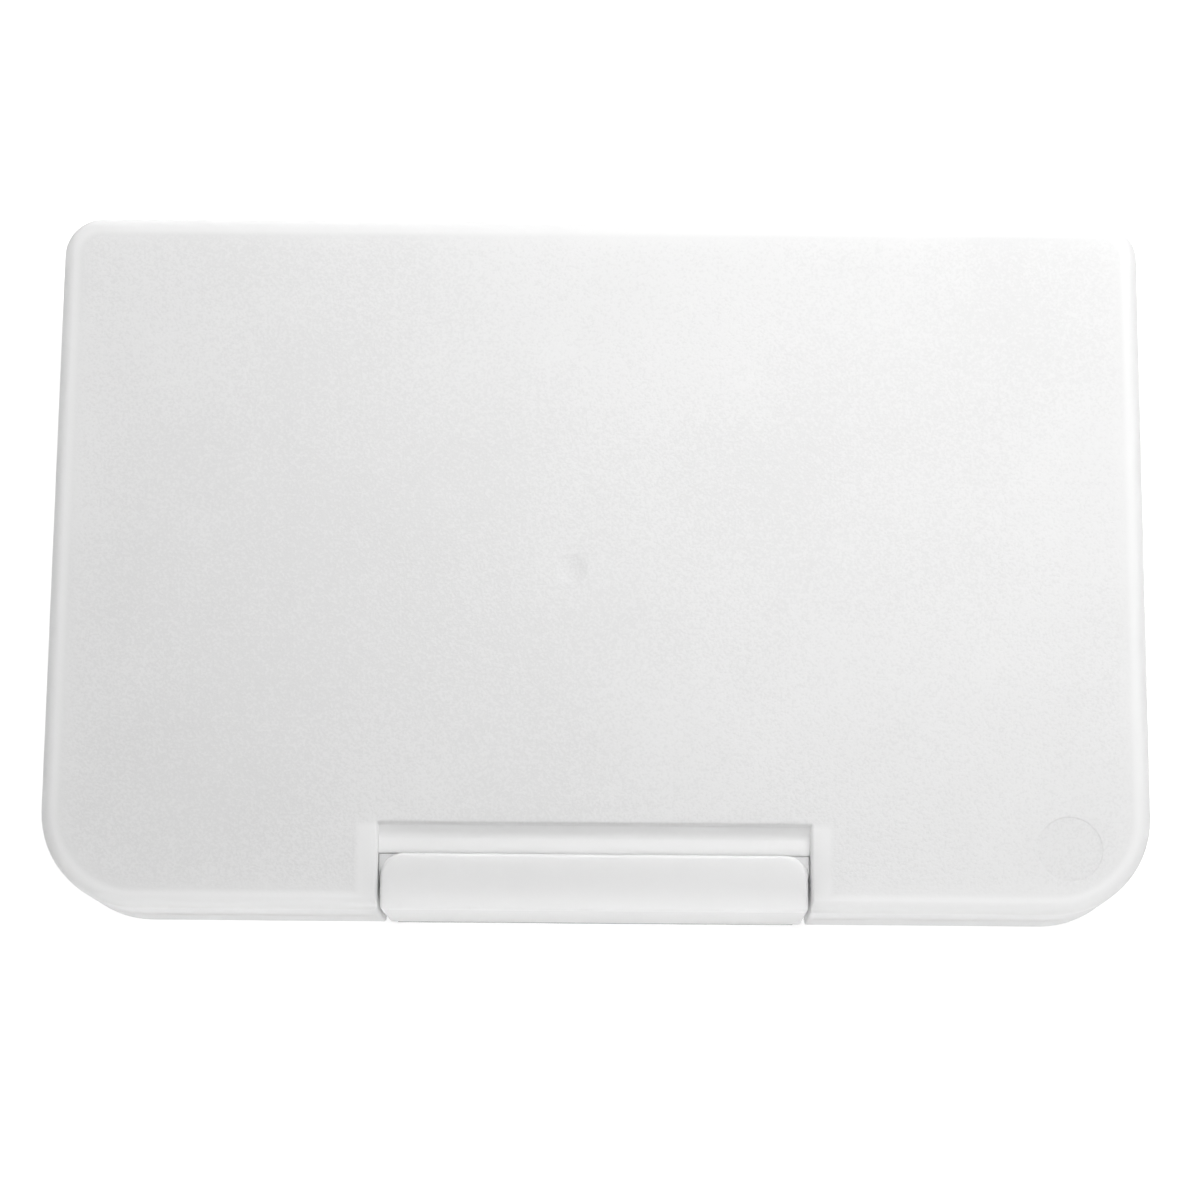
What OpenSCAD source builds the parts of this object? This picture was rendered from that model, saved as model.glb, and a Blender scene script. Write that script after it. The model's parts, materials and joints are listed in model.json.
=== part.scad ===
// Clamshell case for memory cards, moulded in natural polypropylene.
// The base and the lid turn on a thin film hinge along the back. A latch flap turns on a
// second film hinge along the front edge and folds up over the lid. A card tray lies in the base.
// +Z is up, the latch faces -Y, and the origin is the middle of the footprint on the table.

/* [Case] */
// Width of the case, left to right
case_w = 96; // [95:0.5:120]
// Depth of the two shells, front face to back face
case_d = 62; // [60:0.5:84]
// Height of the base, table to parting plane
base_h = 6; // [5.6:0.2:9]
// Height of the lid, parting plane to top
lid_h = 6; // [5:0.2:9]
// Thickness of the side walls
wall = 1.3; // [1.1:0.05:1.6]
// Thickness of the two broad panels
panel = 1.2; // [0.9:0.05:1.5]
// Plan radius of the two front corners
front_r = 8.5; // [6:0.5:12]
// Plan radius of the two back corners
back_r = 3.4; // [2.6:0.2:6]
// Rounding of the outer top and bottom edges
edge_r = 1; // [0.5:0.1:1.2]
// Cove inside, where panels meet walls
cove_r = 0.7; // [0.3:0.1:1]

/* [Rim] */
// Height of the lip that centres the lid on the base
lip_h = 0.8; // [0.5:0.1:1.2]
// Thickness of that lip
lip_t = 0.5; // [0.4:0.05:0.6]
// Clearance between the lip and the lid
rim_gap = 0.08; // [0.05:0.01:0.15]
// Distance from the back corners at which the lip ends
lip_stop = 2; // [1:0.5:6]

/* [Rear hinge] */
// Thickness of the film
film_t = 0.33; // [0.25:0.01:0.45]
// Distance from the back face to the fold
film_reach = 0.75; // [0.7:0.05:1.2]
// Running clearance round the fold and between the folded films
film_gap = 0.04; // [0.03:0.01:0.08]
// Distance from the back corners at which the film ends
film_stop = 0.6; // [0.2:0.1:4]

/* [Latch recess] */
// Width of the recess between its cheeks
recess_w = 37.3; // [30:0.1:44]
// Thickness of the cheeks
cheek_t = 1.8; // [1.1:0.1:2]
// Distance from the front face to the latch wall
latch_setback = 3.1; // [2.6:0.1:3.4]
// Rounding of the latch wall's front top edge
latch_wall_r = 0.4; // [0.2:0.1:0.8]
// Depth of the finger dip behind the latch
dip_depth = 0.9; // [0.6:0.05:1.1]
// Distance from the front face to the rear edge of the dip
dip_back = 7.45; // [7:0.05:9]
// Radius of the dip's scooped rear
scoop_r = 1.2; // [1.1:0.05:1.5]
// Rounding of the edges round the recess, on the front and on the lid's top
recess_round = 0.3; // [0.2:0.05:0.5]

/* [Latch flap] */
// Clearance between the flap and each cheek
flap_gap = 0.25; // [0.2:0.05:0.7]
// Thickness of the flap's front face
flap_t = 1.2; // [1:0.05:1.5]
// Thickness of the flap's top plate
plate_t = 0.8; // [0.7:0.05:1]
// Reach of the top plate from the front face
plate_len = 4.9; // [4.6:0.05:5.2]
// Plan radius of the plate's free corners
plate_r = 2; // [1:0.1:2.6]
// Gap between the plate's tip and the lid's ledge
tip_gap = 0.06; // [0.05:0.01:0.15]
// Gap between the plate and the latch wall under it
seat_gap = 0.05; // [0.04:0.01:0.1]
// Rounding of the flap's upright front corners
flap_corner_r = 0.4; // [0.4:0.1:0.8]
// Rounding of the plate's top edges
flap_edge_r = 0.3; // [0.1:0.05:0.4]
// Fillet in the flap's inner corner
flap_fillet_r = 0.5; // [0.3:0.1:0.8]
// Thickness of the gussets that stiffen the flap
gusset_t = 0.9; // [0.7:0.1:1.2]
// Height of the gussets below the plate
gusset_h = 3.2; // [2:0.2:4]
// Clearance between the gussets and the latch wall
gusset_gap = 0.3; // [0.2:0.05:0.5]
// Distance from the flap's ends to the gussets and the detents
gusset_inset = 3.4; // [2.5:0.1:6]

/* [Latch hinge] */
// Thickness of the film
latch_film_t = 0.3; // [0.25:0.01:0.4]
// Length of the film on each side of the fold
latch_film_len = 0.8; // [0.6:0.05:1]
// Running clearance round the fold
latch_film_gap = 0.03; // [0.02:0.01:0.05]
// Distance from the flap's ends at which the film ends
latch_film_stop = 0.8; // [0.4:0.1:3]

/* [Detent] */
// Radius of the ball that shapes each detent
detent_ball_r = 1.32; // [1.2:0.02:1.6]
// Height of the detents over the latch wall
detent_h = 0.12; // [0.08:0.01:0.14]
// Clearance between a detent and its dimple
detent_gap = 0.05; // [0.04:0.01:0.08]

/* [Card tray] */
// Width of a full-size card
sd_w = 24; // [23.5:0.1:24.5]
// Length of a full-size card
sd_l = 32; // [31.5:0.1:32.5]
// Thickness of a full-size card
sd_t = 2.1; // [1.8:0.1:2.3]
// Length of the diagonal cut at a full-size card's corner, along each side
sd_cut = 4; // [3:0.2:5]
// Width of a small card
micro_w = 11; // [10.6:0.1:11.2]
// Length of a small card
micro_l = 15; // [14.5:0.1:15.4]
// Thickness of a small card
micro_t = 0.9; // [0.7:0.1:1.1]
// Clearance round a card
card_gap = 0.2; // [0.15:0.05:0.3]
// Thickness of the ribs between the pockets
rib = 1.1; // [0.9:0.05:1.2]
// Thickness of the pocket floors
tray_floor = 0.8; // [0.6:0.05:0.9]
// Clearance between the tray and the base
tray_gap = 0.15; // [0.1:0.05:0.3]
// Distance from the parting plane down to the tray's top
tray_drop = 0.5; // [0.3:0.1:0.6]
// Radius of the pockets' corners
pocket_r = 0.7; // [0.4:0.1:1]
// Radius of the thumb notches beside full-size cards
thumb_r = 6; // [4:0.5:8]
// Radius of the thumb notches beside small cards
micro_thumb_r = 3.2; // [2:0.2:4]

/* [Lid surface] */
// Distance of the gate mark left of the centre line
gate_left = 2.15; // [-6:0.05:6]
// Distance of the gate mark in front of the shells' middle
gate_front = 1.05; // [-6:0.05:6]
// Radius of the ball that dishes the gate mark
gate_ball_r = 8; // [6:0.5:12]
// Depth of the gate mark
gate_depth = 0.12; // [0.1:0.01:0.25]
// Distance of the plain disc from the right side
disc_from_side = 7.1; // [6:0.1:12]
// Distance of the plain disc from the front face
disc_from_front = 5.6; // [5:0.1:12]
// Radius of the plain disc
disc_r = 2.8; // [2:0.1:3.5]
// Depth of the plain disc
disc_depth = 0.06; // [0.04:0.01:0.15]

/* [Hidden] */

$fn = 96;
// Overcut that takes a cutter clear of the face it opens
over = 1;
natural = [0.92, 0.93, 0.93];
tray_tone = [0.96, 0.96, 0.95];

total_h = base_h + lid_h;
fold_r = film_t + film_gap / 2;
front_y = -(case_d + film_reach + fold_r) / 2;
back_y = front_y + case_d;
mid_y = (front_y + back_y) / 2;
fold_y = back_y + film_reach;
film_w = case_w - 2 * (back_r + film_stop);

// Latch recess, measured from the front face
ledge = plate_len + tip_gap;
latch_wall_back = ledge - rim_gap;
latch_wall_top = total_h - plate_t - seat_gap;
dip_floor = total_h - dip_depth;
block_w = recess_w + 2 * cheek_t;

// Latch flap and its film; the fold lies one film thickness in from the front and the table
flap_w = recess_w - 2 * flap_gap;
pivot = latch_film_t;
film_land = pivot + latch_film_len;
latch_film_w = flap_w - 2 * latch_film_stop;
gusset_x = flap_w / 2 - gusset_inset;
detent_y = front_y + (latch_setback + latch_wall_back) / 2;
detent_z = latch_wall_top + detent_h - detent_ball_r;

// Card tray
tray_h = base_h - panel - tray_drop;
tray_front = front_y + latch_wall_back + tray_gap;
tray_back = back_y - wall - tray_gap;
tray_mid = (tray_front + tray_back) / 2;
sd_pocket = [sd_l + 2 * card_gap, sd_w + 2 * card_gap];
micro_pocket = [micro_w + 2 * card_gap, micro_l + 2 * card_gap];
sd_depth = sd_t + card_gap;
micro_depth = micro_t + card_gap;
pocket_block = 2 * sd_pocket.x + 2 * micro_pocket.x + 3 * rib;
sd_x = [for (i = [0, 1]) -pocket_block / 2 + sd_pocket.x / 2 + i * (sd_pocket.x + rib)];
micro_x = [for (i = [0, 1]) pocket_block / 2 - micro_pocket.x / 2 - i * (micro_pocket.x + rib)];
sd_y = [for (i = [-0.5, 0.5]) tray_mid + i * (sd_pocket.y + rib)];
micro_y = [for (i = [-1, 0, 1]) tray_mid + i * (micro_pocket.y + rib)];

// Quarter of a disc, in the quadrant right of and above the origin
module quarter_disc(r) {
    intersection() {
        circle(r);
        square(r);
    }
}

// Rectangle from the origin to [w, h], with its lower right corner rounded
module edge_profile(w, h, r) {
    if (r > 0) {
        square([w - r, h]);
        translate([w - r, r]) square([r, h - r]);
        translate([w - r, r]) mirror([0, 1]) quarter_disc(r);
    } else {
        square([w, h]);
    }
}

// Carries a profile drawn as [distance towards +Y, height] along X, centred
module along_x(length) {
    translate([-length / 2, 0, 0]) rotate([90, 0, 90]) linear_extrude(length) children();
}

// Strip and two corners that close a block towards -Y, from y = 0
module block_end(w, h, corner, r) {
    span = w - 2 * corner;
    mirror([0, 1, 0]) along_x(span) edge_profile(corner, h, r);
    for (end = [[-1, 180], [1, 270]])
        translate([end[0] * span / 2, 0, 0]) rotate([0, 0, end[1]])
            rotate_extrude(angle = 90) edge_profile(corner, h, r);
}

// Block between y0 and y1 that stands on z = 0, with rounded plan corners and rounded
// bottom edges
module block(w, y0, y1, h, corner_front, corner_back, r) {
    run = y1 - corner_back - y0 - corner_front;
    translate([0, y0 + corner_front, 0]) {
        block_end(w, h, corner_front, r);
        translate([0, run, 0]) rotate([90, 0, 0]) linear_extrude(run)
            for (side = [0, 1]) mirror([side, 0]) edge_profile(w / 2, h, r);
    }
    translate([0, y1 - corner_back, 0]) mirror([0, 1, 0]) block_end(w, h, corner_back, r);
}

// The case's own outline drawn in by a distance, from z = 0
module case_block(inset, h, r) {
    block(case_w - 2 * inset, front_y + inset, back_y - inset, h,
        front_r - inset, back_r - inset, r);
}

// Turns a block that stands on z = 0 over, so that it hangs from z
module hang_from(z) {
    translate([0, 0, z]) mirror([0, 0, 1]) children();
}

// Lip that runs round the front and the sides inside the wall line. Reach is its thickness,
// spare lets a cutter of it run past the lip's ends and inner face.
module rim_lip(reach, h, spare) {
    x_in = case_w / 2 - wall;
    y_in = front_y + wall;
    corner = [case_w / 2 - front_r, front_y + front_r];
    y_end = back_y - back_r - lip_stop + spare;
    x_end = block_w / 2 + lip_stop - spare;
    for (side = [0, 1]) mirror([side, 0, 0]) {
        translate([x_in - spare, corner.y, 0]) cube([reach + spare, y_end - corner.y, h]);
        translate([x_end, y_in - reach, 0]) cube([corner.x - x_end, reach + spare, h]);
        translate([corner.x, corner.y, 0]) rotate([0, 0, 270]) rotate_extrude(angle = 90)
            translate([front_r - wall - spare, 0]) square([reach + spare, h]);
    }
}

// Wall of the base that stands in the recess and carries the flap's plate
module latch_wall() {
    depth = latch_wall_back - latch_setback;
    height = latch_wall_top - base_h;
    translate([0, front_y + latch_wall_back, base_h])
        along_x(recess_w - 2 * rim_gap) mirror([1, 0])
            translate([0, height]) mirror([0, 1]) edge_profile(depth, height, latch_wall_r);
}

// Ball whose cap makes a detent, or its dimple when it is grown by the clearance
module detent_ball(side, grow) {
    translate([side * gusset_x, detent_y, detent_z]) sphere(detent_ball_r + grow);
}

module base_shell() {
    color(natural) {
        difference() {
            case_block(0, base_h, edge_r);
            difference() {
                translate([0, 0, panel]) case_block(wall, base_h, cove_r);
                translate([-block_w / 2, front_y, 0])
                    cube([block_w, latch_wall_back, base_h + panel + over]);
            }
            // The recess, with its floor tapered down to the film
            along_x(recess_w) polygon([
                [front_y - over, -over],
                [front_y + film_land, -over],
                [front_y + film_land, latch_film_t],
                [front_y + film_land + panel - latch_film_t, panel],
                [front_y + latch_setback, panel],
                [front_y + latch_setback, base_h + over],
                [front_y - over, base_h + over]
            ]);
            recess_front_edges();
        }
        latch_wall();
        translate([0, 0, base_h]) rim_lip(lip_t, lip_h, 0);
        for (side = [-1, 1]) intersection() {
            detent_ball(side, 0);
            translate([side * gusset_x - detent_ball_r, detent_y - detent_ball_r, latch_wall_top])
                cube(2 * detent_ball_r);
        }
    }
}

// Corner cut away to round an edge. The edge passes through the origin, and the solid lies
// to its right and below.
module round_over(r) {
    difference() {
        translate([0, -r]) square([r, r + over]);
        translate([r, -r]) circle(r);
    }
}

// Rounds the two upright edges where the recess opens through the front face
module recess_front_edges() {
    for (side = [0, 1]) mirror([side, 0, 0])
        translate([recess_w / 2, front_y, -over])
            linear_extrude(total_h + 2 * over) mirror([0, 1]) round_over(recess_round);
}

// Rounds the recess's three edges in the lid's top
module recess_top_edges() {
    rear_y = front_y + dip_back;
    translate([0, rear_y, total_h]) {
        along_x(recess_w) round_over(recess_round);
        for (side = [0, 1]) mirror([side, 0, 0]) translate([recess_w / 2, 0, 0]) {
            rotate([90, 0, 0]) linear_extrude(dip_back + over) round_over(recess_round);
            rotate_extrude(angle = 90) round_over(recess_round);
        }
    }
}

// Space of the lid that stays solid round the recess: a wall behind the ledge, and the
// floor of the finger dip
module lid_recess_block() {
    along_x(block_w) polygon([
        [front_y - over, base_h - over],
        [front_y + ledge + wall, base_h - over],
        [front_y + ledge + wall, dip_floor - panel],
        [front_y + dip_back + wall, dip_floor - panel],
        [front_y + dip_back + wall, total_h + over],
        [front_y - over, total_h + over]
    ]);
}

// Finger dip: a flat floor from the ledge, and a rear that scoops up to the top
module finger_dip() {
    scoop_run = sqrt(pow(scoop_r, 2) - pow(scoop_r - dip_depth, 2));
    scoop_y = dip_back - scoop_run;
    translate([0, front_y, dip_floor]) along_x(recess_w) {
        translate([ledge - over, 0]) square([scoop_y - ledge + over, scoop_r]);
        translate([scoop_y, scoop_r]) mirror([0, 1]) quarter_disc(scoop_r);
    }
}

module lid_shell() {
    color(natural) difference() {
        hang_from(total_h) case_block(0, lid_h, edge_r);
        difference() {
            hang_from(total_h - panel) case_block(wall, lid_h, cove_r);
            lid_recess_block();
        }
        translate([-recess_w / 2, front_y - over, base_h - over])
            cube([recess_w, ledge + over, lid_h + 2 * over]);
        finger_dip();
        recess_front_edges();
        recess_top_edges();
        translate([0, 0, base_h - over]) rim_lip(lip_t + rim_gap, lip_h + rim_gap + over, rim_gap);
        translate([-gate_left, mid_y - gate_front, total_h + gate_ball_r - gate_depth])
            sphere(gate_ball_r);
        translate([case_w / 2 - disc_from_side, front_y + disc_from_front, total_h - disc_depth])
            cylinder(r = disc_r, h = disc_depth + over);
    }
}

// Section of the flap: an upright face that tapers down to the film, and a plate on top
module flap_section() {
    inner_z = total_h - plate_t;
    taper = flap_t - latch_film_t;
    difference() {
        union() {
            polygon([
                [0, film_land], [latch_film_t, film_land], [flap_t, film_land + taper],
                [flap_t, total_h], [0, total_h]
            ]);
            translate([flap_t, inner_z - flap_fillet_r])
                square([flap_fillet_r, plate_t + flap_fillet_r]);
            translate([flap_t, inner_z]) square([plate_len - flap_t, plate_t]);
        }
        translate([flap_t + flap_fillet_r, inner_z - flap_fillet_r]) circle(flap_fillet_r);
    }
}

module latch_flap() {
    inner_z = total_h - plate_t;
    gusset_back = latch_setback - gusset_gap;
    color(natural) difference() {
        union() {
            intersection() {
                translate([0, front_y, 0]) along_x(flap_w) flap_section();
                hang_from(total_h) block(flap_w, front_y, front_y + plate_len, total_h,
                    flap_corner_r, plate_r, flap_edge_r);
            }
            for (side = [-1, 1])
                translate([side * gusset_x, front_y, 0]) along_x(gusset_t) polygon([
                    [flap_t, inner_z], [gusset_back, inner_z], [flap_t, inner_z - gusset_h]
                ]);
        }
        for (side = [-1, 1]) detent_ball(side, detent_gap);
    }
}

// Pocket for a full-size card, cut down from z = 0, with the card's diagonal corner
module sd_pocket_cut() {
    size = sd_pocket;
    linear_extrude(sd_depth + over) difference() {
        rounded_plan(size);
        polygon([
            [size.x / 2, size.y / 2], [size.x / 2 - sd_cut, size.y / 2],
            [size.x / 2, size.y / 2 - sd_cut]
        ]);
    }
}

// Rectangle with four corners rounded to the pocket radius, centred
module rounded_plan(size) {
    straight = [size.x - 2 * pocket_r, size.y - 2 * pocket_r];
    square([size.x, straight.y], center = true);
    for (turn = [0, 1]) mirror([0, turn]) {
        translate([-straight.x / 2, straight.y / 2]) square([straight.x, pocket_r]);
        for (side = [0, 1]) mirror([side, 0])
            translate([straight.x / 2, straight.y / 2]) quarter_disc(pocket_r);
    }
}

module card_tray() {
    top = panel + tray_h;
    color(tray_tone) difference() {
        translate([0, 0, panel]) case_block(wall + tray_gap, tray_h, cove_r);
        // Clear of the latch wall and the cheeks
        translate([-block_w / 2 - tray_gap, front_y, 0])
            cube([block_w + 2 * tray_gap, latch_wall_back + tray_gap, base_h]);
        for (x = sd_x, y = sd_y) translate([x, y, top - sd_depth]) sd_pocket_cut();
        for (x = micro_x, y = micro_y) translate([x, y, top - micro_depth])
            linear_extrude(micro_depth + over) rounded_plan(micro_pocket);
        // Hollows under the pockets keep the floors thin
        for (x = sd_x, y = sd_y)
            under_hollow(x, y, sd_pocket, tray_h - sd_depth - tray_floor);
        for (x = micro_x, y = micro_y)
            under_hollow(x, y, micro_pocket, tray_h - micro_depth - tray_floor);
        // Thumb notches across the ribs between neighbouring cards
        for (x = sd_x) translate([x, tray_mid, top - sd_depth])
            cylinder(r = thumb_r, h = sd_depth + over);
        for (y = micro_y) translate([(micro_x[0] + micro_x[1]) / 2, y, top - micro_depth])
            cylinder(r = micro_thumb_r, h = micro_depth + over);
    }
}

// Hollow cut up into the tray's underside, one rib narrower than the pocket over it
module under_hollow(x, y, size, h) {
    translate([x - size.x / 2 + rib / 2, y - size.y / 2 + rib / 2, panel - over])
        cube([size.x - rib, size.y - rib, h + over]);
}

module rear_hinge_film_base() {
    color(natural) {
        translate([-film_w / 2, back_y, base_h - fold_r]) cube([film_w, film_reach, film_t]);
        translate([-film_w / 2, fold_y, base_h]) rotate([0, 90, 0]) cylinder(r = fold_r, h = film_w);
    }
}

module rear_hinge_film_lid() {
    color(natural) difference() {
        translate([-film_w / 2, back_y, base_h + film_gap / 2]) cube([film_w, film_reach, film_t]);
        translate([-film_w / 2 - over, fold_y, base_h]) rotate([0, 90, 0])
            cylinder(r = fold_r + film_gap, h = film_w + 2 * over);
    }
}

module latch_hinge_film_base() {
    color(natural) {
        translate([-latch_film_w / 2, front_y + pivot, 0])
            cube([latch_film_w, latch_film_len, latch_film_t]);
        translate([-latch_film_w / 2, front_y + pivot, pivot]) rotate([0, 90, 0])
            cylinder(r = pivot, h = latch_film_w);
    }
}

module latch_hinge_film_flap() {
    color(natural) difference() {
        translate([-latch_film_w / 2, front_y, pivot])
            cube([latch_film_w, latch_film_t, latch_film_len]);
        translate([-latch_film_w / 2 - over, front_y + pivot, pivot]) rotate([0, 90, 0])
            cylinder(r = pivot + latch_film_gap, h = latch_film_w + 2 * over);
    }
}

base_shell();
lid_shell();
latch_flap();
card_tray();
rear_hinge_film_base();
rear_hinge_film_lid();
latch_hinge_film_base();
latch_hinge_film_flap();
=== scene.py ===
"""Looks of a pocket case for memory cards, moulded in frosted natural polypropylene.

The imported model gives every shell, film hinge, latch and pocket at its real place. This script
dresses them in translucent plastic, adds the small marks that moulding leaves, and sets the
camera, the floor and the light. Lengths are in metres, and names that end in _mm are millimetres.
"""

import json
import logging
import math
from dataclasses import dataclass
from enum import Enum

import bpy
import numpy as np
from mathutils import Euler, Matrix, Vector


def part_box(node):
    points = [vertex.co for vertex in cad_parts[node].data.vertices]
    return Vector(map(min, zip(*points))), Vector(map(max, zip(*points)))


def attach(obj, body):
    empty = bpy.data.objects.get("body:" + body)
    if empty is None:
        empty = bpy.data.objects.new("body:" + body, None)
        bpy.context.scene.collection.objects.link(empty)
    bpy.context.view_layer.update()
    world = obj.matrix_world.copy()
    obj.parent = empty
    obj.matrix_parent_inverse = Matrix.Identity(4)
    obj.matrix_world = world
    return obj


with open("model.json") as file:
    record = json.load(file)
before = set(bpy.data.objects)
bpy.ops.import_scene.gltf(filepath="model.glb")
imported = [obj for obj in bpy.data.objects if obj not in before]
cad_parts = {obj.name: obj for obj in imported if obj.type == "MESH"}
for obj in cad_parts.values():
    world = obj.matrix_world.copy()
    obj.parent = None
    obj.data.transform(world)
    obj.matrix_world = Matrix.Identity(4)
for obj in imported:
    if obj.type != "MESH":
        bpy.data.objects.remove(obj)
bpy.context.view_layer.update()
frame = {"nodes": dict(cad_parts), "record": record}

MM = 0.001
PHOTO_SIDE_PX = 1180
SENSOR_MM = 36.0

log = logging.getLogger("card_case")

Colour = tuple[float, float, float]
Point = tuple[float, float, float]
Span = tuple[float, float]
Number = "Signal | float | int"

WHITE: Colour = (1.0, 1.0, 1.0)
EVEN_SCATTER: Colour = (1.0, 1.0, 1.0)
NOISE_MIDDLE = 0.5


class Body(Enum):
    """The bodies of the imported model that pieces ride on."""

    BASE = "base"
    LID = "lid"
    LATCH = "latch"


class Slot(Enum):
    """The record's material slots."""

    SHELL = "natural_polypropylene"
    TRAY = "tray_polypropylene"
    FILM = "hinge_film"


class Signal:
    """A node socket that can be used in Python expressions, each of which adds a Math node."""

    def __init__(self, sheet: "NodeSheet", socket: bpy.types.NodeSocket) -> None:
        """Keeps the socket and the sheet that new nodes go on.

        Args:
            sheet: the node sheet that owns the socket.
            socket: an output socket that carries one number.
        """
        self.sheet = sheet
        self.socket = socket

    def _math(self, operation: str, *operands: Number) -> "Signal":
        """Adds one Math node.

        Args:
            operation: the Math node's operation.
            *operands: numbers or signals, in the node's order.

        Returns:
            The node's result.
        """
        return self.sheet.node("ShaderNodeMath", {"operation": operation}, dict(enumerate(operands)))

    def __add__(self, other: Number) -> "Signal":
        """Sum."""
        return self._math("ADD", self, other)

    def __radd__(self, other: Number) -> "Signal":
        """Sum, with the signal on the right."""
        return self._math("ADD", other, self)

    def __sub__(self, other: Number) -> "Signal":
        """Difference."""
        return self._math("SUBTRACT", self, other)

    def __rsub__(self, other: Number) -> "Signal":
        """Difference, with the signal on the right."""
        return self._math("SUBTRACT", other, self)

    def __mul__(self, other: Number) -> "Signal":
        """Product."""
        return self._math("MULTIPLY", self, other)

    def __rmul__(self, other: Number) -> "Signal":
        """Product, with the signal on the right."""
        return self._math("MULTIPLY", other, self)

    def __truediv__(self, other: Number) -> "Signal":
        """Quotient."""
        return self._math("DIVIDE", self, other)

    def __abs__(self) -> "Signal":
        """Size without sign."""
        return self._math("ABSOLUTE", self)

    def root(self) -> "Signal":
        """Square root."""
        return self._math("SQRT", self)

    def at_least(self, other: Number) -> "Signal":
        """The larger of two values."""
        return self._math("MAXIMUM", self, other)

    def at_most(self, other: Number) -> "Signal":
        """The smaller of two values."""
        return self._math("MINIMUM", self, other)

    def ramp(self, low: Number, high: Number) -> "Signal":
        """Smooth step.

        Args:
            low: value at which the result is 0.
            high: value at which the result is 1.

        Returns:
            A signal from 0 to 1.
        """
        settings = {"interpolation_type": "SMOOTHSTEP"}
        return self.sheet.node("ShaderNodeMapRange", settings, {"Value": self, 1: low, 2: high})


class NodeSheet:
    """One node tree, cleared, with a single way to add nodes."""

    def __init__(self, tree: bpy.types.NodeTree) -> None:
        """Clears the tree.

        Args:
            tree: the node tree of a material or of the world.
        """
        self.tree = tree
        tree.nodes.clear()

    def node(
        self,
        kind: str,
        settings: dict | None = None,
        inputs: dict | None = None,
        output: int | str = 0,
    ) -> Signal:
        """Adds a node.

        Args:
            kind: the node's type, such as ShaderNodeMath.
            settings: attributes of the node, set before its sockets.
            inputs: values or signals by socket name or index.
            output: name or index of the output socket that is handed back.

        Returns:
            The chosen output as a signal.
        """
        made = self.tree.nodes.new(kind)
        for name, value in (settings or {}).items():
            setattr(made, name, value)
        for key, value in (inputs or {}).items():
            if isinstance(value, Signal):
                self.tree.links.new(value.socket, made.inputs[key])
            else:
                made.inputs[key].default_value = value
        if not made.outputs:
            return Signal(self, None)
        return Signal(self, made.outputs[output])

    def noise(self, place: Signal, grain: float, detail: float, roughness: float = 0.5) -> Signal:
        """Cloudy noise from 0 to 1.

        Args:
            place: object coordinates.
            grain: size of its largest features, in metres.
            detail: how many finer octaves are added.
            roughness: weight of each finer octave.

        Returns:
            The noise value.
        """
        sockets = {"Vector": place, "Scale": 1 / grain, "Detail": detail, "Roughness": roughness}
        return self.node("ShaderNodeTexNoise", {"noise_dimensions": "3D"}, sockets)

    def axis(self, place: Signal, name: str) -> Signal:
        """One coordinate of a vector.

        Args:
            place: the vector.
            name: X, Y or Z.

        Returns:
            The coordinate.
        """
        return self.node("ShaderNodeSeparateXYZ", {}, {0: place}, name)

    def mix(self, share: Number, low: Signal, high: Colour) -> Signal:
        """Colour between a colour signal and a colour.

        Args:
            share: 0 for the first, 1 for the second.
            low: the first colour.
            high: the second colour.

        Returns:
            The colour, as a signal.
        """
        return self.node("ShaderNodeMix", {"data_type": "RGBA"}, {0: share, 6: low, 7: (*high, 1.0)}, 2)

    def blend(self, share: Number, low: Colour, high: Colour) -> Signal:
        """Colour between two colours.

        Args:
            share: 0 for the first colour, 1 for the second.
            low: the first colour.
            high: the second colour.

        Returns:
            The colour, as a signal.
        """
        sockets = {0: share, 6: (*low, 1.0), 7: (*high, 1.0)}
        return self.node("ShaderNodeMix", {"data_type": "RGBA"}, sockets, 2)


@dataclass(frozen=True)
class CaseOutline:
    """Plan outline of the case in millimetres: large front and small rear corners."""

    half_width: float = 48.0
    front_y: float = -31.55
    back_y: float = 30.45
    front_r: float = 8.5
    back_r: float = 3.4

    def inset(self, sheet: NodeSheet, place: Signal) -> Signal:
        """How far inside the outline a point lies, in millimetres.

        The distance to a rounded rectangle: with q the point's excess over the inner rectangle
        that is left when the corner's radius is taken off, it is the length of q's positive part
        plus its negative part, less the radius. The sign is turned, so that inside is positive.

        Args:
            sheet: the node sheet to work on.
            place: object coordinates.

        Returns:
            The inset, negative outside the outline.
        """
        x = sheet.axis(place, "X") / MM
        y = sheet.axis(place, "Y") / MM
        middle, half_depth = (self.front_y + self.back_y) / 2, (self.back_y - self.front_y) / 2
        front = (middle - y).ramp(0.0, 1.0)
        radius = self.back_r + (self.front_r - self.back_r) * front
        qx = abs(x) - self.half_width + radius
        qy = abs(y - middle) - half_depth + radius
        px, py = qx.at_least(0.0), qy.at_least(0.0)
        beyond = (px * px + py * py).root() + qx.at_least(qy).at_most(0.0)
        return radius - beyond


OUTLINE = CaseOutline()


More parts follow.
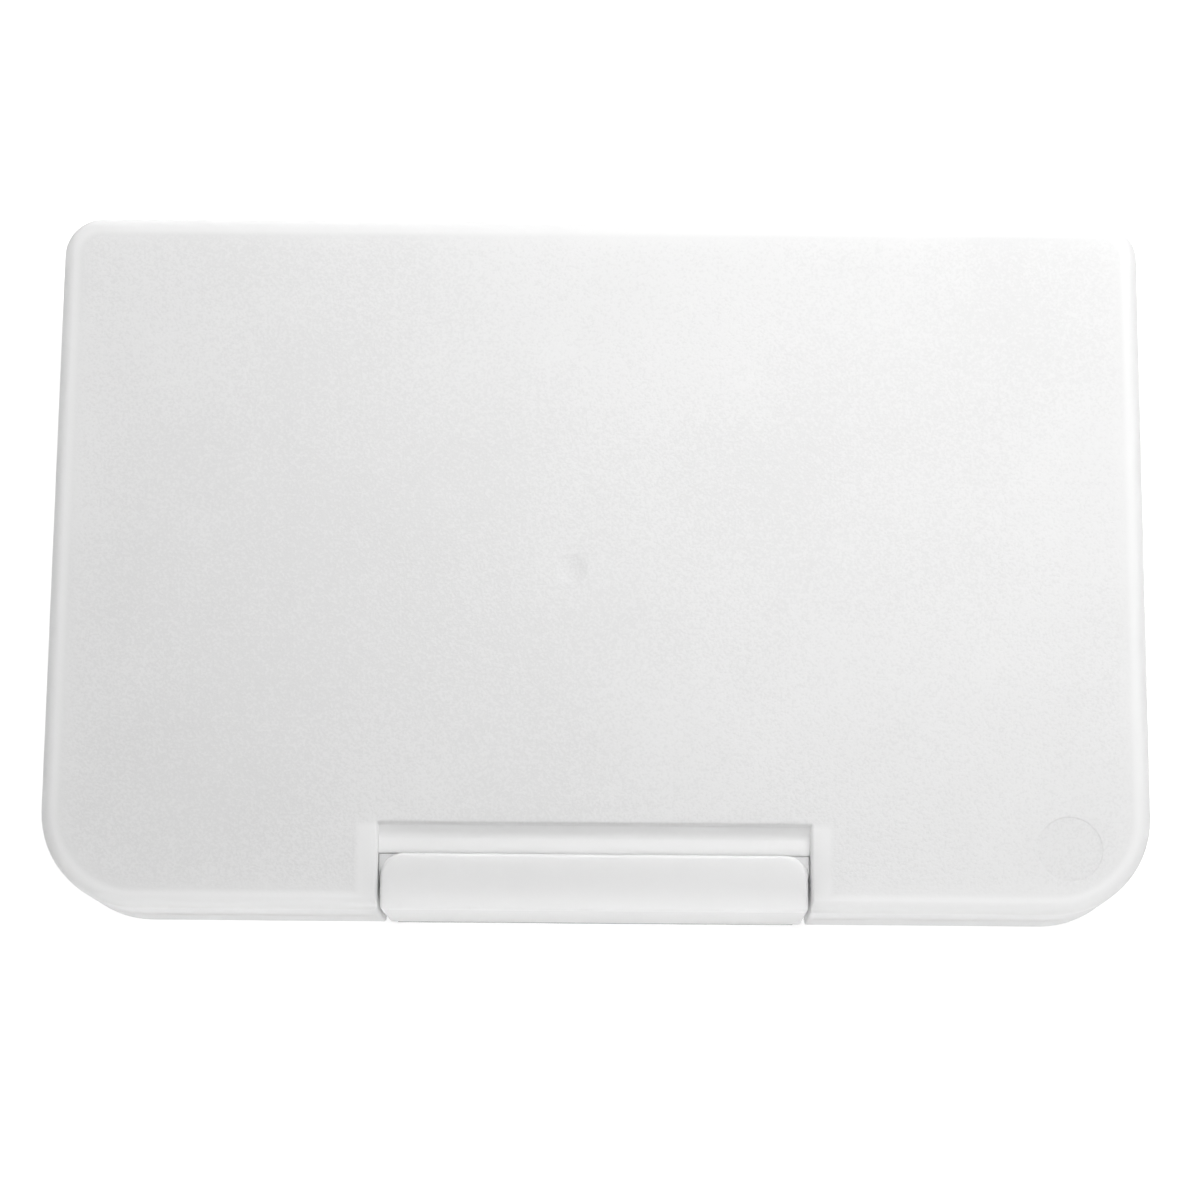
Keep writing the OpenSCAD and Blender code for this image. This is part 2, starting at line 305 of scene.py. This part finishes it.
@dataclass(frozen=True)
class LatchRecess:
    """Plan of the recess in the front edge, with its cheeks, in millimetres."""

    half_width: float = 18.65
    cheek: float = 1.8
    front_y: float = -31.55
    back: float = 7.45
    floor_z: float = 1.2
    top_z: float = 12.0
    soft: float = 0.35
    slot_depth: Span = (0.1, 0.4)
    slot_setback: Span = (0.2, 0.4)

    def share(self, sheet: NodeSheet, place: Signal) -> Signal:
        """1 in the recess and its cheeks, 0 outside and in the floor below, with soft edges.

        Args:
            sheet: the node sheet to work on.
            place: object coordinates.

        Returns:
            The mask.
        """
        x = abs(sheet.axis(place, "X")) / MM
        y = sheet.axis(place, "Y") / MM - self.front_y
        side = 1 - (x - self.half_width - self.cheek).ramp(-self.soft, self.soft)
        rear = 1 - (y - self.back).ramp(-self.soft, self.soft)
        above = (sheet.axis(place, "Z") / MM - self.floor_z).ramp(-self.soft, self.soft)
        return side * rear * above

    def slots(self, sheet: NodeSheet, place: Signal) -> Signal:
        """1 below the top and behind the front face, where the slots round the flap are.

        Args:
            sheet: the node sheet to work on.
            place: object coordinates.

        Returns:
            The mask, to be multiplied by the recess's own.
        """
        y = sheet.axis(place, "Y") / MM - self.front_y
        depth = self.top_z - sheet.axis(place, "Z") / MM
        return depth.ramp(*self.slot_depth) * y.ramp(*self.slot_setback)


RECESS = LatchRecess()


@dataclass(frozen=True)
class FrostedPlastic:
    """Natural polypropylene with a fine spark-eroded frost.

    Light goes into it, scatters and comes out again. The frost is a fine bump and a faint
    speckle, strongest on the flat panels and polished away towards the outline. Slow clouds vary
    the milkiness a little, as flow in the mould does. A paler colour is painted along the outline's
    walls and over the latch recess and its cheeks, a painted glow in place of light coming through
    the walls and of the shade in the recess. In the slots round the flap less light passes straight
    through, and a paler colour still is painted there, a painted glow in place of their shade.
    """

    name: str
    clear_tint: Colour
    milky_tint: Colour
    # Painted glow along the outline's walls and over the latch recess, in place of light through the
    # walls and the recess's shade.
    rim_painted_glow: Colour
    # Painted glow in the slots round the flap, in place of the shade that falls in them.
    slot_painted_glow: Colour
    roughness: float
    roughness_spread: float
    transmission: float
    slot_transmission: float
    scatter_mm: float
    grain_mm: float
    grain_depth_mm: float
    speckle: float
    cloud_mm: float
    edge_mm: float
    rim_end_mm: Span = (1.2, 1.8)
    frost_start_mm: Span = (0.9, 3.3)
    cloud_span: Span = (0.3, 0.7)
    cloud_octaves: float = 2.0
    grain_octaves: float = 1.0
    grain_octave_weight: float = 0.6
    polished_grain: float = 0.25
    edge_samples: int = 6
    ior: float = 1.49

    def material(self) -> bpy.types.Material:
        """Builds the material.

        Returns:
            A node material that reads object coordinates only.
        """
        made = bpy.data.materials.new(self.name)
        made.use_nodes = True
        sheet = NodeSheet(made.node_tree)
        place = sheet.node("ShaderNodeTexCoord", output="Object")
        clouds = sheet.noise(place, self.cloud_mm * MM, self.cloud_octaves)
        grain = sheet.noise(place, self.grain_mm * MM, self.grain_octaves, self.grain_octave_weight)
        unevenness = grain - NOISE_MIDDLE
        inset = OUTLINE.inset(sheet, place)
        recess = RECESS.share(sheet, place)
        # Painted glow: the outline's walls and the latch recess get the paler rim colour, in place of
        # light coming through the walls and of the shade in the recess.
        painted_glow_share = (1 - inset.ramp(*self.rim_end_mm)).at_least(recess)
        frosted = inset.ramp(*self.frost_start_mm) * (1 - recess)
        milkiness = clouds.ramp(*self.cloud_span) + unevenness * self.speckle * frosted
        tint = sheet.blend(milkiness, self.clear_tint, self.milky_tint)
        tint = sheet.mix(painted_glow_share, tint, self.rim_painted_glow)
        # Painted glow: the slots round the flap get a paler colour still, in place of the shade that
        # falls in them. The same mask lowers the transmission there.
        slots = recess * RECESS.slots(sheet, place)
        tint = sheet.mix(slots, tint, self.slot_painted_glow)
        rounding = {"Radius": self.edge_mm * MM}
        edges = sheet.node("ShaderNodeBevel", {"samples": self.edge_samples}, rounding)
        relief = {
            "Strength": 1.0,
            "Distance": self.grain_depth_mm * MM,
            "Height": grain * (self.polished_grain + (1 - self.polished_grain) * frosted),
            "Normal": edges,
        }
        frost = sheet.node("ShaderNodeBump", {}, relief)
        sockets = {
            "Base Color": tint,
            "Roughness": self.roughness + self.roughness_spread * unevenness,
            "IOR": self.ior,
            "Normal": frost,
            "Subsurface Weight": 1.0,
            "Subsurface Radius": EVEN_SCATTER,
            "Subsurface Scale": self.scatter_mm * MM,
            "Transmission Weight": self.transmission,
        }
        settings = {"subsurface_method": "RANDOM_WALK"}
        plastic = sheet.node("ShaderNodeBsdfPrincipled", settings, sockets)
        sockets["Transmission Weight"] = self.slot_transmission
        in_slots = sheet.node("ShaderNodeBsdfPrincipled", settings, sockets)
        both = sheet.node("ShaderNodeMixShader", {}, {0: slots, 1: plastic, 2: in_slots})
        sheet.node("ShaderNodeOutputMaterial", {}, {"Surface": both})
        return made


SHELL_FINISH = FrostedPlastic(
    name="frosted_shell",
    clear_tint=(0.78, 0.78, 0.78),
    milky_tint=(0.83, 0.83, 0.83),
    # Painted glow: the rim colour is paler for light through the walls and the recess's shade, the slot
    # colour paler still in place of the slots' shade.
    rim_painted_glow=(0.88, 0.88, 0.88),
    slot_painted_glow=(0.95, 0.95, 0.95),
    roughness=0.5,
    roughness_spread=0.2,
    transmission=0.25,
    slot_transmission=0.12,
    scatter_mm=2.0,
    grain_mm=0.22,
    grain_depth_mm=0.016,
    speckle=5.0,
    cloud_mm=25.0,
    edge_mm=0.12,
)
TRAY_FINISH = FrostedPlastic(
    name="satin_tray",
    clear_tint=(0.93, 0.93, 0.925),
    milky_tint=(0.95, 0.95, 0.945),
    rim_painted_glow=(0.95, 0.95, 0.945),
    slot_painted_glow=(0.95, 0.95, 0.945),
    roughness=0.38,
    roughness_spread=0.1,
    transmission=0.25,
    slot_transmission=0.25,
    scatter_mm=2.0,
    grain_mm=0.25,
    grain_depth_mm=0.004,
    speckle=1.0,
    cloud_mm=14.0,
    edge_mm=0.12,
)
FILM_FINISH = FrostedPlastic(
    name="hinge_film",
    clear_tint=(0.95, 0.95, 0.95),
    milky_tint=(0.97, 0.97, 0.97),
    rim_painted_glow=(0.97, 0.97, 0.97),
    slot_painted_glow=(0.97, 0.97, 0.97),
    roughness=0.25,
    roughness_spread=0.1,
    transmission=0.6,
    slot_transmission=0.6,
    scatter_mm=0.6,
    grain_mm=0.3,
    grain_depth_mm=0.004,
    speckle=0.5,
    cloud_mm=4.0,
    edge_mm=0.05,
)


@dataclass(frozen=True)
class Lamp:
    """A rectangular soft lamp that faces the case."""

    name: str
    at: Point
    size: tuple[float, float]
    radiance: float
    aim: Point = (0.0, 0.0, 0.006)

    def add(self) -> None:
        """Adds the lamp. Its power is radiance times pi times its area, as for a flat emitter."""
        data = bpy.data.lights.new(self.name, "AREA")
        data.shape = "RECTANGLE"
        data.size, data.size_y = self.size
        data.energy = self.radiance * math.pi * self.size[0] * self.size[1]
        holder = bpy.data.objects.new(self.name, data)
        holder.location = self.at
        turn = (Vector(self.aim) - Vector(self.at)).to_track_quat("-Z", "Y")
        holder.rotation_euler = turn.to_euler()
        holder.visible_camera = False
        bpy.context.scene.collection.objects.link(holder)


KEY_LAMP = Lamp("key", (0.06, 0.10, 0.24), (0.16, 0.16), 8.8)
FILL_LAMP = Lamp("fill", (0.0, -0.45, 0.65), (0.7, 0.5), 0.5)
FRONT_LAMP = Lamp("front", (0.0, -0.8, 0.13), (1.2, 0.24), 4.6)
LEFT_LAMP = Lamp("left", (-0.8, 0.0, 0.13), (1.0, 0.24), 0.4)
RIGHT_LAMP = Lamp("right", (0.8, 0.0, 0.13), (1.0, 0.24), 0.4)
BACK_LAMP = Lamp("back", (0.0, 0.8, 0.13), (1.2, 0.24), 2.5)
LAMPS = (KEY_LAMP, FILL_LAMP, FRONT_LAMP, LEFT_LAMP, RIGHT_LAMP, BACK_LAMP)


@dataclass(frozen=True)
class PinMarks:
    """Low ring ridges that ejector pins leave on a moulded face, made as one piece."""

    radius: float
    width: float = 0.3 * MM
    height: float = 0.07 * MM
    around: int = 64
    across: int = 12

    def points(self, centres: np.ndarray) -> np.ndarray:
        """Points of the ridges.

        With u the turn round a ring and v the turn round its section, a point lies in direction u
        at the radius plus half the width times cos v, and the height times sin v over the face.
        The lower half of the section is sunk in the face.

        Args:
            centres: the rings' centres on the face, one row each.

        Returns:
            Coordinates by ring, turn and place in the section.
        """
        u = np.linspace(0, 2 * np.pi, self.around, endpoint=False)[:, None]
        v = np.linspace(0, 2 * np.pi, self.across, endpoint=False)[None, :]
        reach = self.radius + self.width / 2 * np.cos(v)
        ring = np.broadcast_arrays(reach * np.cos(u), reach * np.sin(u), self.height * np.sin(v))
        return centres[:, None, None, :] + np.stack(ring, axis=-1)

    def piece(self, name: str, centres: np.ndarray) -> bpy.types.Object:
        """Makes the ridges.

        Args:
            name: the piece's name.
            centres: the rings' centres on the face, one row each.

        Returns:
            One object of closed rings.
        """
        points = self.points(centres)
        here = np.arange(points[..., 0].size).reshape(points.shape[:3])
        ahead = np.roll(here, -1, axis=1)
        quads = np.stack([here, ahead, np.roll(ahead, -1, axis=2), np.roll(here, -1, axis=2)], axis=-1)
        data = bpy.data.meshes.new(name)
        data.from_pydata(points.reshape(-1, 3).tolist(), [], quads.reshape(-1, 4).tolist())
        data.shade_smooth()
        made = bpy.data.objects.new(name, data)
        bpy.context.scene.collection.objects.link(made)
        return made


Palette = dict[str, bpy.types.Material]


@dataclass
class Part:
    """One sub-assembly: CAD nodes that share a body, each with its finish."""

    body: Body
    finishes: dict[str, tuple[FrostedPlastic, Slot]]

    def dress(self, palette: Palette) -> None:
        """Puts the finish on each CAD node.

        Args:
            palette: the materials by finish name.
        """
        for node, (finish, slot) in self.finishes.items():
            piece = frame["nodes"][node]
            piece.data.materials.clear()
            piece.data.materials.append(palette[finish.name])
            log.info("%s wears %s and rides on %s", node, finish.name, self.body.value)

    def add(self, piece: bpy.types.Object, finish: FrostedPlastic, slot: Slot, palette: Palette) -> None:
        """Gives a new piece its finish and lets it ride on the body.

        Args:
            piece: the new piece.
            finish: its finish.
            slot: the record's slot that the finish stands for; not used.
            palette: the materials by finish name.
        """
        piece.data.materials.append(palette[finish.name])
        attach(piece, self.body.value)
        log.info("%s wears %s and rides on %s", piece.name, finish.name, self.body.value)


@dataclass
class BasePart(Part):
    """Base shell with the card tray in it, and the base halves of both films."""

    large_pin: PinMarks = PinMarks(radius=2.2 * MM)
    small_pin: PinMarks = PinMarks(radius=1.2 * MM)
    # A pocket's opening in the record starts this far over the pocket's floor.
    opening_lift: float = 0.05 * MM

    def pocket_floors(self, prefix: str) -> np.ndarray:
        """Middles of the floors of the pockets whose opening has a name with this start.

        Args:
            prefix: start of the opening's name.

        Returns:
            One row of coordinates for each pocket.
        """
        openings = frame["record"]["physics"]["openings"]
        boxes = np.array([o["box_m"] for o in openings if o["name"].startswith(prefix)])
        middles = boxes.mean(axis=1)
        middles[:, 2] = boxes[:, 0, 2] - self.opening_lift
        return middles

    def build(self, palette: Palette) -> None:
        """Dresses the base and adds the pin marks on the pocket floors.

        Args:
            palette: the materials by finish name.
        """
        self.dress(palette)
        for prefix, pin in (("large_pocket", self.large_pin), ("small_pocket", self.small_pin)):
            marks = pin.piece(f"{prefix}_pin_marks", self.pocket_floors(prefix))
            self.add(marks, TRAY_FINISH, Slot.TRAY, palette)


@dataclass
class LidPart(Part):
    """Lid shell with its half of the rear film."""

    pin: PinMarks = PinMarks(radius=2.2 * MM)
    panel: float = 1.2 * MM
    pin_x: float = 38.0 * MM
    pin_front_y: float = -17.0 * MM
    pin_rear_y: float = 22.0 * MM

    def build(self, palette: Palette) -> None:
        """Dresses the lid and adds six pin marks on its inner face.

        Args:
            palette: the materials by finish name.
        """
        self.dress(palette)
        face_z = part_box("lid_shell")[1][2] - self.panel
        grid = np.meshgrid((-self.pin_x, 0.0, self.pin_x), (self.pin_front_y, self.pin_rear_y), face_z)
        centres = np.stack([axis.ravel() for axis in grid], axis=-1)
        self.add(self.pin.piece("lid_pin_marks", centres), SHELL_FINISH, Slot.SHELL, palette)


@dataclass
class LatchPart(Part):
    """Latch flap with its half of the latch film."""

    def build(self, palette: Palette) -> None:
        """Dresses the flap.

        Args:
            palette: the materials by finish name.
        """
        self.dress(palette)


@dataclass
class Studio:
    """Camera, floor, lamps and world."""

    # The camera's place and turn come from fitting the case's outline and edges to the photograph.
    focal_px: float = 3200.0
    camera_at_mm: Point = (3.59, -58.565, 286.433)
    camera_turn_deg: Point = (-11.35, -0.85, -0.37)
    camera_near: float = 0.01
    camera_far: float = 10.0
    ambient: float = 0.15
    floor_side: float = 1.6
    floor_drop: float = 0.02 * MM
    floor_paint: Colour = (0.9, 0.9, 0.9)
    floor_glow: float = 0.62

    def camera(self) -> None:
        """Makes the camera from its pinhole fit and sets it as the scene's.

        The fit turns a point by X, then Y, then Z into the camera's own axes, so the camera's
        turn is the inverse of that rotation.
        """
        data = bpy.data.cameras.new("camera")
        data.sensor_width = SENSOR_MM
        data.lens = self.focal_px / PHOTO_SIDE_PX * SENSOR_MM
        data.clip_start = self.camera_near
        data.clip_end = self.camera_far
        holder = bpy.data.objects.new("camera", data)
        turn = Euler([math.radians(a) for a in self.camera_turn_deg], "XYZ").to_matrix()
        holder.matrix_world = turn.transposed().to_4x4()
        holder.location = Vector(self.camera_at_mm) * MM
        bpy.context.scene.collection.objects.link(holder)
        bpy.context.scene.camera = holder

    def seen_directly(self, sheet: NodeSheet) -> Signal:
        """1 for rays that show the backdrop as white: camera, glossy and transmission rays.

        Args:
            sheet: the node sheet to work on.

        Returns:
            A signal of 0 or 1.
        """
        names = ("Is Camera Ray", "Is Glossy Ray", "Is Transmission Ray")
        rays = [sheet.node("ShaderNodeLightPath", output=name) for name in names]
        return (rays[0] + rays[1] + rays[2]).ramp(0.0, 1.0)

    def world(self) -> None:
        """Sets a white backdrop for what sees it, and a plain grey light for the rest."""
        made = bpy.data.worlds.new("studio")
        made.use_nodes = True
        bpy.context.scene.world = made
        sheet = NodeSheet(made.node_tree)
        grey = (self.ambient,) * 3
        tone = sheet.blend(self.seen_directly(sheet), grey, WHITE)
        light = sheet.node("ShaderNodeBackground", {}, {"Color": tone, "Strength": 1.0})
        sheet.node("ShaderNodeOutputWorld", {}, {"Surface": light})

    def floor(self) -> None:
        """Lays a pale floor that looks white and still shows the object's shadow."""
        half = self.floor_side / 2
        data = bpy.data.meshes.new("floor")
        corners = [(-half, -half, 0), (half, -half, 0), (half, half, 0), (-half, half, 0)]
        data.from_pydata(corners, [], [(0, 1, 2, 3)])
        piece = bpy.data.objects.new("floor", data)
        piece.location.z = -self.floor_drop
        bpy.context.scene.collection.objects.link(piece)
        made = bpy.data.materials.new("floor")
        made.use_nodes = True
        sheet = NodeSheet(made.node_tree)
        paint = sheet.node("ShaderNodeBsdfDiffuse", {}, {"Color": (*self.floor_paint, 1.0)})
        glow_strength = self.floor_glow * self.seen_directly(sheet)
        glow = sheet.node("ShaderNodeEmission", {}, {"Strength": glow_strength})
        both = sheet.node("ShaderNodeAddShader", {}, {0: paint, 1: glow})
        sheet.node("ShaderNodeOutputMaterial", {}, {"Surface": both})
        data.materials.append(made)

    def build(self) -> None:
        """Makes the camera, world, floor and lamps."""
        self.camera()
        bpy.context.scene.view_settings.view_transform = "Standard"
        self.world()
        self.floor()
        for lamp in LAMPS:
            lamp.add()


def main() -> None:
    """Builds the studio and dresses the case."""
    logging.basicConfig(level=logging.INFO, format="%(name)s: %(message)s")
    Studio().build()
    palette = {f.name: f.material() for f in (SHELL_FINISH, TRAY_FINISH, FILM_FINISH)}
    shell, film = (SHELL_FINISH, Slot.SHELL), (FILM_FINISH, Slot.FILM)
    parts = (
        BasePart(Body.BASE, {
            "base_shell": shell,
            "card_tray": (TRAY_FINISH, Slot.TRAY),
            "rear_hinge_film_base": film,
            "latch_hinge_film_base": film,
        }),
        LidPart(Body.LID, {"lid_shell": shell, "rear_hinge_film_lid": film}),
        LatchPart(Body.LATCH, {"latch_flap": shell, "latch_hinge_film_flap": film}),
    )
    for part in parts:
        part.build(palette)


if __name__ == "__main__":
    main()
